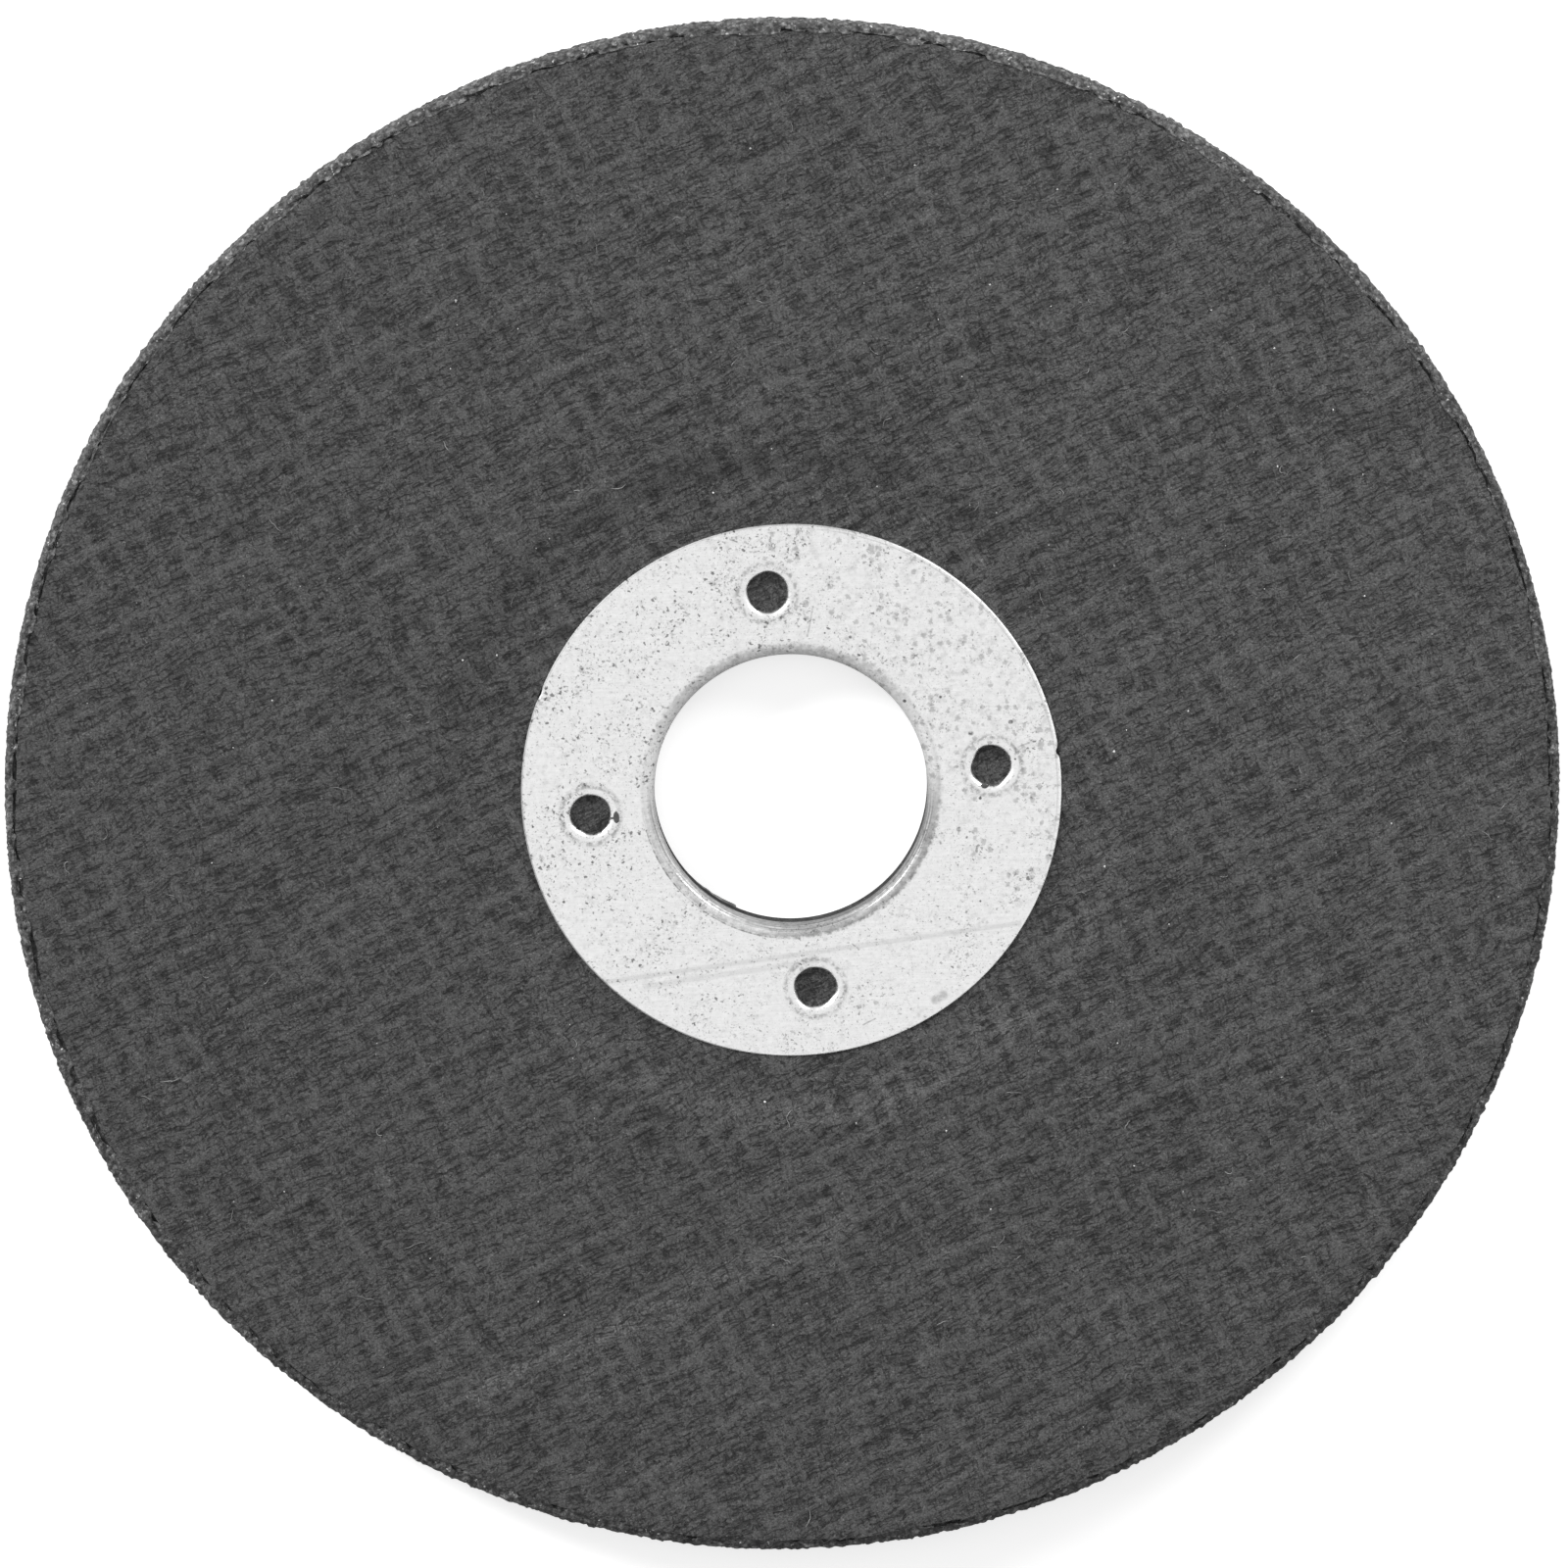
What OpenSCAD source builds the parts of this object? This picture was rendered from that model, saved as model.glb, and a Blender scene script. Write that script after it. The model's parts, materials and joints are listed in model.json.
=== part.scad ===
// Resin-bonded cut off wheel, lying flat with its ring side up.
// The origin is on the axis of the bore, in the plane of the back face.

/* [Wheel] */
// Outside diameter of the wheel
wheel_d = 127; // [110:1:180]
// Thickness of the wheel over its flat cutting zone
wheel_t = 3.2; // [2.6:0.1:5]
// Rounding of the pressed rim, above and below
rim_round = 0.8; // [0.3:0.1:1]
// Distance of the rim's centre to the left of the bore's axis, as moulded
rim_offset = 0.7; // [0:0.1:1.5]

/* [Dished middle] */
// Depth of the dish below the flat face
dish_depth = 0.45; // [0.1:0.05:0.7]
// Width of the sloping wall of the dish
dish_slope_w = 6; // [2:0.5:12]
// Width of the dish's flat floor that shows round the ring
dish_margin = 2; // [0.5:0.25:5]

/* [Front facing] */
// Thickness of the sheet of paper and glass mesh
facing_t = 0.55; // [0.45:0.05:0.8]
// Open crack between the edge of the facing and the rim
crack_w = 0.08; // [0.02:0.02:0.3]

/* [Arbor ring] */
// Diameter of the bore
bore_d = 22.23; // [16:0.01:25.4]
// Width of the ring from the wall of the bore to its outer edge
ring_w = 10.9; // [9:0.1:16]
// Thickness of the sheet steel
sheet_t = 0.4; // [0.2:0.05:0.5]
// Depth that the ring is pressed into the facing
ring_sink = 0.3; // [0.05:0.05:0.35]
// Inner radius of the bend where the ring rolls down into the bore
lip_bend_r = 0.64; // [0.3:0.02:1.2]
// Height of the straight collar below that bend
collar_h = 0.1; // [0.05:0.05:0.8]
// Rounding that the blanking die leaves on the ring's outer edge
blank_round = 0.15; // [0.05:0.05:0.2]

/* [Pierced anchors] */
// Number of pierced holes in the ring
anchor_count = 4; // [3:1:8]
// Diameter of each hole at its narrowest
anchor_d = 3.4; // [2:0.1:4.5]
// Distance from the wall of the bore to the holes' centres
anchor_reach = 5.35; // [4.2:0.05:7]
// Turn of the holes from the right of the wheel, in degrees
anchor_turn = 6.5; // [0:0.5:45]
// Inner radius of the bend that draws each hole's rim down into the facing
anchor_bend_r = 0.1; // [0.05:0.05:0.3]

/* [Fit] */
// Clearance between the drawn-in steel and what it is bedded in
bed_clearance = 0.02; // [0:0.01:0.05]

/* [Hidden] */
$fn = 256;

// Room above and around the wheel that the cutting shapes run out into
runout = 2;

bore_r = bore_d / 2;
rim_r = wheel_d / 2;
ring_r = bore_r + ring_w;
recess_r = rim_r - rim_round;
facing_r = recess_r - crack_w;
dish_floor_r = ring_r + dish_margin;
dish_top_r = dish_floor_r + dish_slope_w;
far_r = rim_r + rim_offset + runout;
above_z = wheel_t + runout;

// The ring is bedded in the floor of the dish, and its lip ends part way down the bore
floor_z = wheel_t - dish_depth;
ring_z = floor_z - ring_sink;
ring_top_z = ring_z + sheet_t;
lip_r = lip_bend_r + sheet_t;
lip_centre_r = bore_r + lip_r;
lip_centre_z = ring_top_z - lip_r;
lip_end_z = lip_centre_z - collar_h;

// Each pierced rim is drawn down in the same way round its own axis
anchor_r = anchor_d / 2;
anchor_lip_r = anchor_bend_r + sheet_t;
anchor_flat_r = anchor_r + anchor_lip_r;
anchor_end_z = ring_top_z - anchor_lip_r;
anchor_circle_r = bore_r + anchor_reach;

// Line of the front surface from the axis outwards, or of a level parallel to it below
function front_line(drop) = [
    [0, floor_z - drop],
    [dish_floor_r, floor_z - drop],
    [dish_top_r, wheel_t - drop],
    [far_r, wheel_t - drop]
];

function reversed(points) = [for (i = [len(points) - 1 : -1 : 0]) points[i]];

module on_rim_axis() {
    translate([-rim_offset, 0, 0]) children();
}

module at_anchors() {
    for (i = [0 : anchor_count - 1])
        rotate(anchor_turn + i * 360 / anchor_count) translate([anchor_circle_r, 0, 0]) children();
}

// Section of the pressed disc, with both edges of its rim rounded
module rim_section() {
    square([rim_r - rim_round, wheel_t]);
    translate([0, rim_round]) square([rim_r, wheel_t - 2 * rim_round]);
    for (z = [rim_round, wheel_t - rim_round])
        translate([rim_r - rim_round, z]) circle(rim_round);
}

// Quarter of a bend that turns a sheet down towards the axis of a hole
module bend_section(hole_r, bend_r, end_z) {
    outer_r = bend_r + sheet_t;
    translate([hole_r + outer_r, end_z]) intersection() {
        difference() {
            circle(outer_r);
            circle(bend_r);
        }
        translate([-outer_r, 0]) square(outer_r);
    }
}

// Space that the ring and its lip take up in the facing and the body
module ring_room() {
    collar_r = bore_r + sheet_t + bed_clearance;
    rotate_extrude() {
        translate([0, lip_end_z - bed_clearance]) square([collar_r, above_z]);
        difference() {
            translate([0, lip_centre_z]) square([lip_centre_r, above_z]);
            translate([lip_centre_r, lip_centre_z]) circle(lip_bend_r - bed_clearance);
        }
        translate([0, ring_z]) square([ring_r + bed_clearance, above_z]);
    }
}

// Grooves that the drawn rims of the pierced holes press into the facing
module anchor_rooms() {
    groove_w = anchor_lip_r + 2 * bed_clearance;
    at_anchors() rotate_extrude()
        translate([anchor_r - bed_clearance, anchor_end_z - bed_clearance]) square([groove_w, above_z]);
}

module abrasive_body() {
    color([0.2, 0.2, 0.2]) difference() {
        on_rim_axis() rotate_extrude() rim_section();
        intersection() {
            rotate_extrude() polygon(concat(front_line(facing_t), [[far_r, above_z], [0, above_z]]));
            on_rim_axis() cylinder(r = recess_r, h = above_z);
        }
        translate([0, 0, -runout]) cylinder(r = bore_r, h = above_z + runout);
        ring_room();
        anchor_rooms();
    }
}

module front_facing() {
    color([0.1, 0.1, 0.1]) difference() {
        intersection() {
            rotate_extrude() polygon(concat(front_line(facing_t), reversed(front_line(0))));
            on_rim_axis() cylinder(r = facing_r, h = above_z);
        }
        ring_room();
        anchor_rooms();
    }
}

// Section of the ring: the flat, its rounded outer edge, and the lip and collar in the bore
module ring_section() {
    flat_w = ring_r - lip_centre_r;
    translate([lip_centre_r, ring_z]) {
        square([flat_w - blank_round, sheet_t]);
        square([flat_w, sheet_t - blank_round]);
        translate([flat_w - blank_round, sheet_t - blank_round]) circle(blank_round);
    }
    bend_section(bore_r, lip_bend_r, lip_centre_z);
    translate([bore_r, lip_end_z]) square([sheet_t, collar_h]);
}

module arbor_ring() {
    color([0.85, 0.85, 0.86]) {
        difference() {
            rotate_extrude() ring_section();
            at_anchors() translate([0, 0, ring_z - runout]) cylinder(r = anchor_flat_r, h = 2 * runout);
        }
        at_anchors() rotate_extrude() bend_section(anchor_r, anchor_bend_r, anchor_end_z);
    }
}

abrasive_body();
front_facing();
arbor_ring();
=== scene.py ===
# %% [markdown]
# # A cut off wheel
# The wheel has three pieces that the press bonded for good: a disc of abrasive grain, a black
# facing of paper over glass mesh, and a bright stamped ring at the bore. The solids of the three
# pieces are already made, at their real size. This lesson dresses them: it builds finer meshes on
# the same sizes and gives each one its finish.

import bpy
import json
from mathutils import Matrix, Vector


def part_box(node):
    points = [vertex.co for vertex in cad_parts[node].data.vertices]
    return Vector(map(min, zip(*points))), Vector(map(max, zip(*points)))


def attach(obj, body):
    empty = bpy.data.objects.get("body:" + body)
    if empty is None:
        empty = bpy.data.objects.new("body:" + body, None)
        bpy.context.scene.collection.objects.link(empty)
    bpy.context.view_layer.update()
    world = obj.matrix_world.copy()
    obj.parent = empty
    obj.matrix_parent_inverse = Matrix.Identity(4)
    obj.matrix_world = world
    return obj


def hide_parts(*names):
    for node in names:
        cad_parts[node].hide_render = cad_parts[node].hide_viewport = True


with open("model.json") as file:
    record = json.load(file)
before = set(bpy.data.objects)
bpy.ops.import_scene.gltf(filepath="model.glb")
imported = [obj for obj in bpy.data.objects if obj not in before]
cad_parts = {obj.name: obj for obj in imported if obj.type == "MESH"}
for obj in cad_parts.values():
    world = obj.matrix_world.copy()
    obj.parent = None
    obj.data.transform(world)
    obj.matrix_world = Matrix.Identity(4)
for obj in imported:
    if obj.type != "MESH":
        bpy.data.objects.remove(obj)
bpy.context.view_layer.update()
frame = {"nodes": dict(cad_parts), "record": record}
print("solids:", sorted(frame["nodes"]))

# %% [markdown]
# ## Sizes
# Every size comes from the solids, so the dressed pieces land where the solids are. I work in
# millimetres, because a wheel maker does, and turn to metres only when a mesh is handed to Blender.
# A few sizes can't be read from a box, such as the dish in the middle of the face, so they are
# named here once.

# %% Read the sizes
import functools
import json
import math
import bpy
import bmesh
import numpy as np
from mathutils import Matrix, Vector
from mathutils.geometry import delaunay_2d_cdt

MM = 0.001
body_low, body_high = (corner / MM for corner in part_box("abrasive_body"))
facing_low, facing_high = (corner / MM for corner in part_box("front_facing"))
ring_low, ring_high = (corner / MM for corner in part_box("arbor_ring"))

rim_x = (body_low.x + body_high.x) / 2
rim_centre = (rim_x, 0)
rim_r = (body_high.y - body_low.y) / 2
wheel_t = body_high.z
facing_r = (facing_high.y - facing_low.y) / 2
ring_r = (ring_high.y - ring_low.y) / 2
ring_top = ring_high.z
lip_end = ring_low.z
bore_r = frame["record"]["mounts"][0]["dims"]["r_mm"]

sheet_t = 0.4
lip_round = 1.04
dish_depth = 0.45
dish_margin = 2
dish_slope_w = 6
dish_floor_r = ring_r + dish_margin
dish_top_r = dish_floor_r + dish_slope_w
facing_t = 0.55
crack_w = 0.08
rim_round = rim_r - facing_r - crack_w
ring_under = ring_top - sheet_t
clearance = 0.02
anchor_reach = 5.35
anchor_circle_r = bore_r + anchor_reach
anchor_turn = math.radians(6.5)
anchor_r = 1.7
anchor_round = 0.5
anchor_angles = [anchor_turn + k * math.pi / 2 for k in range(4)]
anchors = [anchor_circle_r * np.array([math.cos(a), math.sin(a)]) for a in anchor_angles]
print(f"rim radius {rim_r:.2f}, {rim_x:.2f} off the bore; ring radius {ring_r:.2f}; bore radius {bore_r}")

# %% [markdown]
# ## Two kinds of noise
# Pressed paper and broken grain have no pattern that a ruler could draw, so both need noise. Smooth
# noise blends random heights on a grid, and stretched along one direction it gives wrinkles. Cell
# noise measures the distance to scattered points, and gives lumps like grains. Both start from a
# fixed seed, so that the wheel is the same each time.

# %% Noise helpers
@functools.cache
def random_table(seed, *shape):
    """A table of random numbers from 0 to 1, kept so that each is made only once."""
    return np.random.default_rng(seed).random(shape)


def smooth_noise(x, y, seed, wrap_x=499, wrap_y=503):
    """Soft noise from 0 to 1, with bumps about one unit apart."""
    heights = random_table(seed, wrap_x, wrap_y)
    i, j = np.floor(x).astype(int), np.floor(y).astype(int)
    fx, fy = x - i, y - j
    fx, fy = fx * fx * (3 - 2 * fx), fy * fy * (3 - 2 * fy)

    def corner(di, dj):
        return heights[(i + di) % wrap_x, (j + dj) % wrap_y]

    near = corner(0, 0) * (1 - fx) + corner(1, 0) * fx
    far = corner(0, 1) * (1 - fx) + corner(1, 1) * fx
    return near * (1 - fy) + far * fy


def noise_round(angle, count, seed):
    """Smooth noise with that many bumps round a circle."""
    turn = (angle / math.tau) % 1
    return smooth_noise(turn * count, 0 * turn, seed, wrap_x=count)


def grain_noise(x, y, seed, wrap_x=499, wrap_y=503):
    """Distance to the nearest of points scattered one to a square, and that point's own number."""
    jitter = random_table(seed, wrap_x, wrap_y, 2)
    number = random_table(seed + 1, wrap_x, wrap_y)
    i, j = np.floor(x).astype(int), np.floor(y).astype(int)
    nearest = np.full(np.shape(x), 9.0)
    owner = np.zeros(np.shape(x))
    for di in (-1, 0, 1):
        for dj in (-1, 0, 1):
            cell = (i + di) % wrap_x, (j + dj) % wrap_y
            point = jitter[cell]
            distance = np.hypot(i + di + point[..., 0] - x, j + dj + point[..., 1] - y)
            closer = distance < nearest
            nearest = np.where(closer, distance, nearest)
            owner = np.where(closer, number[cell], owner)
    return nearest, owner


def rise(value, low, high):
    """0 below low, 1 above high, and a soft step between."""
    t = np.clip((value - low) / (high - low), 0, 1)
    return t * t * (3 - 2 * t)


print("noise at one place:", smooth_noise(np.array([0.3]), np.array([0.7]), 1))

# %% [markdown]
# ## A small mesh bench
# All three pieces are the same kind of job: fill a flat area with triangles, then carry its edges
# down and round as rows of quads until the piece closes. Blender's constrained triangulation fills
# any outline with holes, and keeps the edges exactly round, which a square grid can't.

# %% Mesh helpers
def steps_round(count):
    """Angles of that many even steps round a circle."""
    return np.arange(count) * math.tau / count


def circle_loop(radius, count, centre=(0, 0)):
    """Points round a circle, as an array of x and y."""
    angle = steps_round(count)
    return np.c_[centre[0] + radius * np.cos(angle), centre[1] + radius * np.sin(angle)]


def slanted_grid(reach, along, across, turn):
    """Points of a grid turned by an angle, wide enough to cover a disc of that reach."""
    rows = np.arange(-reach, reach, across)
    u, v = np.meshgrid(np.arange(-reach, reach, along), rows)
    u = u + (np.arange(len(rows)) % 2 * along / 2)[:, None]
    u, v = u.ravel(), v.ravel()
    return np.c_[u * math.cos(turn) - v * math.sin(turn), u * math.sin(turn) + v * math.cos(turn)]


def from_centre(points, centre=(0, 0)):
    """Distance of each point from a centre."""
    return np.hypot(points[:, 0] - centre[0], points[:, 1] - centre[1])


def fill_between(loops, points, keep):
    """Triangles over the loops and loose points, without those whose middle keep() turns down."""
    numbers = []
    edges = []
    start = 0
    for loop in loops:
        ring = list(range(start, start + len(loop)))
        edges += zip(ring, ring[1:] + ring[:1])
        numbers.append(ring)
        start += len(loop)
    made = delaunay_2d_cdt([Vector(p) for p in np.vstack([*loops, points])], edges, [], 1, 1e-7)
    places = np.array([tuple(p) for p in made[0]])
    faces = np.array([f for f in made[2] if len(f) == 3])
    faces = faces[keep(places[faces].mean(axis=1))]
    order = {source: k for k, sources in enumerate(made[3]) for source in sources}
    return places, faces.tolist(), [[order[k] for k in ring] for ring in numbers]


no_points = np.zeros((0, 2))


def outside_circle(radius, count, centre=(0, 0)):
    """A test that turns down what lies inside a circle of that many straight sides."""
    middle_of_side = radius * math.cos(math.pi / count)
    return lambda points: from_centre(points, centre) > middle_of_side


def matched(rings, rows):
    """The points of a patch's rings, each with the point of the mesh that it is."""
    return {k: index for ring, row in zip(rings, rows) for k, index in zip(ring, row)}


class Sheet:
    """A mesh in the making: its points in millimetres and its faces."""

    def __init__(self):
        self.points = []
        self.faces = []

    def add_points(self, points):
        start = len(self.points)
        self.points.extend(map(tuple, np.asarray(points, float)))
        return list(range(start, start + len(points)))

    def add_ring(self, radius, angle, height, centre_x=0):
        """A row of points round an upright axis."""
        x = centre_x + radius * np.cos(angle)
        return self.add_points(np.c_[x, radius * np.sin(angle), height + 0 * angle])

    def add_patch(self, places, heights, faces, known=()):
        """A filled patch. Points that are known are in the mesh already, and the rest are added."""
        known = dict(known)
        fresh = [k for k in range(len(places)) if k not in known]
        solid = np.c_[places, np.broadcast_to(heights, len(places))]
        known |= dict(zip(fresh, self.add_points(solid[fresh])))
        self.faces += [tuple(known[k] for k in f) for f in faces]
        return [known[k] for k in range(len(places))]

    def sew(self, row, next_row):
        count = len(row)
        for k in range(count):
            after = (k + 1) % count
            self.faces.append((row[k], row[after], next_row[after], next_row[k]))

    def sew_rows(self, rows):
        for row, next_row in zip(rows, rows[1:]):
            self.sew(row, next_row)

    def to_object(self, name, sharp_deg=50, **marks):
        mesh = bpy.data.meshes.new(name)
        mesh.from_pydata((np.array(self.points) * MM).tolist(), [], self.faces)
        for mark, values in marks.items():
            filled = np.zeros(len(self.points))
            filled[:len(values)] = values
            mesh.attributes.new(mark, "FLOAT", "POINT").data.foreach_set("value", filled)
        work = bmesh.new()
        work.from_mesh(mesh)
        loose = [v for v in work.verts if not v.link_faces]
        bmesh.ops.delete(work, geom=loose, context="VERTS")
        bmesh.ops.recalc_face_normals(work, faces=work.faces)
        open_edges = sum(1 for e in work.edges if not e.is_manifold)
        work.to_mesh(mesh)
        work.free()
        mesh.shade_smooth()
        mesh.set_sharp_from_angle(angle=math.radians(sharp_deg))
        piece = bpy.data.objects.new(name, mesh)
        bpy.context.scene.collection.objects.link(piece)
        triangles = sum(len(p.vertices) - 2 for p in mesh.polygons)
        print(f"{name}: {triangles} triangles, {open_edges} open edges")
        return piece


print("a circle of four points:", circle_loop(1, 4).round(3).tolist())

# %% [markdown]
# ## The lie of the facing
# The facing is one sheet of black paper pressed on glass mesh. Three things shape it. The dish:
# round the ring the face dips a little. The mesh: its yarns print through as a faint plaid, about
# three millimetres by two, turned a little less than thirty degrees. The wrinkles: the paper crept
# under the press and folded into short creases that nearly all run one way. The heights only ever
# go down from the flat face, because the flat face is the wheel's size.

# %% Heights of the facing
wrinkle_turn = math.radians(24)
dish_up = 0.4
yarn_seed = 20
wrinkle_seed = 30
yarn_sets = [
    (29.7, 3.17, 0.8), (29.2, 6.34, 0.3), (116.6, 2.28, 0.75), (116.6, 4.56, 0.45),
    (21.5, 1.95, 0.6), (106.5, 2.27, 0.45), (127.7, 2.3, 0.4),
]


def turned(x, y, turn):
    """Distance along and across a direction."""
    return x * math.cos(turn) + y * math.sin(turn), y * math.cos(turn) - x * math.sin(turn)


def dish(x, y):
    """Depth of the dish below the flat face. The mould made it, so it goes with the rim, not the bore."""
    radius = np.hypot(x - rim_x, y - dish_up)
    return dish_depth * (1 - rise(radius, dish_floor_r + 0.7, dish_top_r - 1.2))


def yarn_print(x, y, seed):
    """How far the mesh's yarns lift the paper, from 0 to 1."""
    lift = np.zeros(np.shape(x))
    for number, (degrees, pitch, share) in enumerate(yarn_sets):
        along, across = turned(x, y, math.radians(degrees))
        across = across + 1.3 * smooth_noise(along / 9, across / 8, seed + number)
        place = np.abs((across / pitch) % 1 - 0.5) * pitch
        strength = share * rise(smooth_noise(along / 2.5, across / 2.5, seed + 10 + number), 0.2, 0.8)
        lift += strength * (1 - rise(place, 0.05, 0.55))
    return np.minimum(lift, 1)


def wrinkles(x, y, seed):
    """Depth of the creases in the paper, from 0 to about 1."""
    bend = smooth_noise(x / 7, y / 7, seed) - 0.5
    jog = smooth_noise(x / 1.3, y / 1.3, seed + 5) - 0.5
    along, across = turned(x, y, wrinkle_turn)
    across = across + 2.2 * bend + 0.35 * jog
    short = rise(smooth_noise(along / 1.1, across / 0.45, seed + 1), 0.55, 0.95)
    long = rise(smooth_noise(along / 3.2, across / 0.6, seed + 2), 0.68, 0.95)
    return np.maximum(short, long) * (1 - 0.85 * yarn_print(x, y, yarn_seed))


def crumples(x, y):
    """Angular folds where the paper is drawn down the wall of the dish, from 0 to about 1."""
    wall = dish(x, y) / dish_depth
    large = np.abs(2 * smooth_noise(x / 1.7, y / 1.7, 90) - 1)
    small = np.abs(2 * smooth_noise(x / 0.8, y / 0.8, 91) - 1)
    return 4 * wall * (1 - wall) * (large + 0.5 * small) / 1.5


yarn_height = 0.05
wrinkle_depth = 0.07
crumple_depth = 0.14
print("dish at the ring:", dish(np.array([ring_r]), np.array([0.0])))

# %% [markdown]
# ## The torn edge
# The facing stops short of the rim in a torn, wandering line, and the grain comes up to meet it. In
# places they touch, and in places a dark crack is open between them. Both pieces take their edge
# from the same two functions, so that they always fit.

# %% Edge between facing and grain
def facing_edge(angle):
    """Radius where the facing ends, at an angle round the rim's centre."""
    long = noise_round(angle, 130, 45)
    short = noise_round(angle, 640, 46)
    lower_left = rise(np.cos(angle - math.radians(225)), 0.72, 0.95)
    return facing_r - 0.32 * long * long - 0.14 * short - 0.28 * lower_left


def crack_width(angle):
    """Width of the crack outside the facing's edge, below 0 where the grain lies under the paper."""
    patchy = noise_round(angle, 270, 47)
    ragged = noise_round(angle, 800, 48)
    return 0.42 * rise(patchy + 0.6 * (ragged - 0.5), 0.38, 1.0) - 0.04


some = np.linspace(0, math.tau, 500)
print(f"facing ends at {facing_edge(some).min():.2f} to {facing_edge(some).max():.2f}")

# %% [markdown]
# ## The facing's mesh
# The creases are finer across than along, so the grid is too: about 0.4 mm along them and under 0.3
# mm across. That keeps the sheet under two hundred thousand triangles and still gives the creases
# real depth. Under the ring the sheet is pressed flat and only shows through the four holes, so a
# coarse mesh is enough there.

# %% Build the facing
edge_steps = 1600
hole_steps = 320
grid_along = 0.42
grid_across = 0.275
torn_margin = 0.85
curl_depth = 0.05
curl_width = 0.7


def facing_front():
    """Front of the sheet outside the ring, with its dish, yarns and creases."""
    outer = circle_loop(1, edge_steps) * facing_edge(steps_round(edge_steps))[:, None] + rim_centre
    inner_r = ring_r + clearance
    inner = circle_loop(inner_r, hole_steps)
    points = slanted_grid(rim_r + 1, grid_along, grid_across, wrinkle_turn)
    on_paper = from_centre(points, rim_centre) < facing_r - torn_margin
    points = points[on_paper & (from_centre(points) > ring_r + 0.2)]
    return fill_between([outer, inner], points, outside_circle(inner_r, hole_steps))


def front_height(x, y):
    """Height of the sheet's front, which curls down a little at its torn edge."""
    from_edge = facing_edge(np.arctan2(y, x - rim_x)) - np.hypot(x - rim_x, y)
    edge = (1 - rise(from_edge, 0, curl_width)) * curl_depth
    relief = yarn_height * (1 - yarn_print(x, y, yarn_seed)) + wrinkle_depth * wrinkles(x, y, wrinkle_seed)
    relief = relief + crumple_depth * crumples(x, y)
    return wheel_t - dish(x, y) - relief - edge


def build_facing():
    sheet = Sheet()
    places, faces, (outer, inner) = facing_front()
    indices = sheet.add_patch(places, front_height(places[:, 0], places[:, 1]), faces)
    outer_row = [indices[k] for k in outer]
    inner_row = [indices[k] for k in inner]
    under_ring = sheet.add_points(np.c_[places[inner], np.full(len(inner), ring_under)])
    sheet.sew(inner_row, under_ring)
    rows = [under_ring]
    for radius in np.arange(ring_r - 0.6, bore_r + lip_round + 0.6, -0.7):
        loop = circle_loop(radius, len(inner))
        ripple = 0.03 * smooth_noise(loop[:, 0] / 0.8, loop[:, 1] / 0.8, 40)
        rows.append(sheet.add_points(np.c_[loop, ring_under - ripple]))
    back = wheel_t - dish_depth - facing_t
    last = np.array(sheet.points)[rows[-1]][:, :2]
    rows.append(sheet.add_points(np.c_[last, np.full(len(inner), back)]))
    sheet.sew_rows(rows)
    edge_low = sheet.add_points(np.c_[places[outer], np.full(len(outer), wheel_t - facing_t)])
    sheet.sew(outer_row, edge_low)
    outside = outside_circle(np.hypot(*last[0]), hole_steps)
    flat, back_faces, rings = fill_between([places[outer], last], no_points, outside)
    sheet.add_patch(flat, back, back_faces, matched(rings, [edge_low, rows[-1]]))
    x, y = places[:, 0], places[:, 1]
    # The crease depth goes to the shader as a mark, which paints shade into the creases.
    yarn, crease = yarn_print(x, y, yarn_seed), wrinkles(x, y, wrinkle_seed)
    return sheet.to_object("facing_sheet", yarn=yarn, crease=crease)


facing = build_facing()
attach(facing, "root")
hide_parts("front_facing")

# %% [markdown]
# ## The abrasive body
# The disc is grain pressed in resin. Where the facing stops, the bare grain shows as a ragged,
# rounded shoulder, and the outline of the wheel is as rough as its grit. I could roughen it with
# bump alone, but the outline would stay a clean circle, so the rim is cut fine enough for each
# grain to be a lump of its own. Grains only take away from the smooth solid, so that the wheel
# keeps its size.

# %% Heights of the rim and the back
grain_size = 0.55
rim_steps = 1800
rim_length = 2 * math.pi * rim_r
rim_cells = round(rim_length / grain_size)


def rim_bite(around, down):
    """How far the rim falls short of the smooth rounding, in millimetres."""
    turn = around / rim_length
    near, owner = grain_noise(turn * rim_cells, down / grain_size, 50, wrap_x=rim_cells)
    small, chip = grain_noise(turn * rim_cells * 2, down / grain_size * 2, 53, wrap_x=rim_cells * 2)
    broad = smooth_noise(turn * 90, down / 3, 52, wrap_x=90)
    rough = smooth_noise(turn * 1300, down / 0.3, 56, wrap_x=1300)
    bite = 0.09 * rise(near, 0.15, 0.8) + 0.13 * owner ** 2
    bite = bite + 0.08 * chip + 0.05 * small
    return bite + 0.05 * broad + 0.12 * rough


def back_height(x, y):
    """Height of the back, where the mesh is pressed into bare grain."""
    print_through = 0.09 * (1 - yarn_print(-x, y, 60))
    near, _ = grain_noise(x / 0.9, y / 0.9, 62)
    edge = rise(np.hypot(x - rim_x, y), rim_r - rim_round - 1.5, rim_r - rim_round)
    bore = 1 - rise(np.hypot(x, y), bore_r, bore_r + 1.5)
    return (print_through + 0.05 * near) * (1 - edge) * (1 - bore)


print(f"{rim_cells} grains fit round the rim")

# %% [markdown]
# ## The body's mesh
# The rim is one strip of rows, from the crack over the shoulder and down to the back, and the bore
# is another. Two flat fills close the disc between them. Beside the paper the bite is held back
# wherever the crack is closed, so that grain and paper meet level.

# %% Build the abrasive body
row_pitch = 0.2
meeting = {0: 0.2, 1: 0.55, 2: 0.85}


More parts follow.
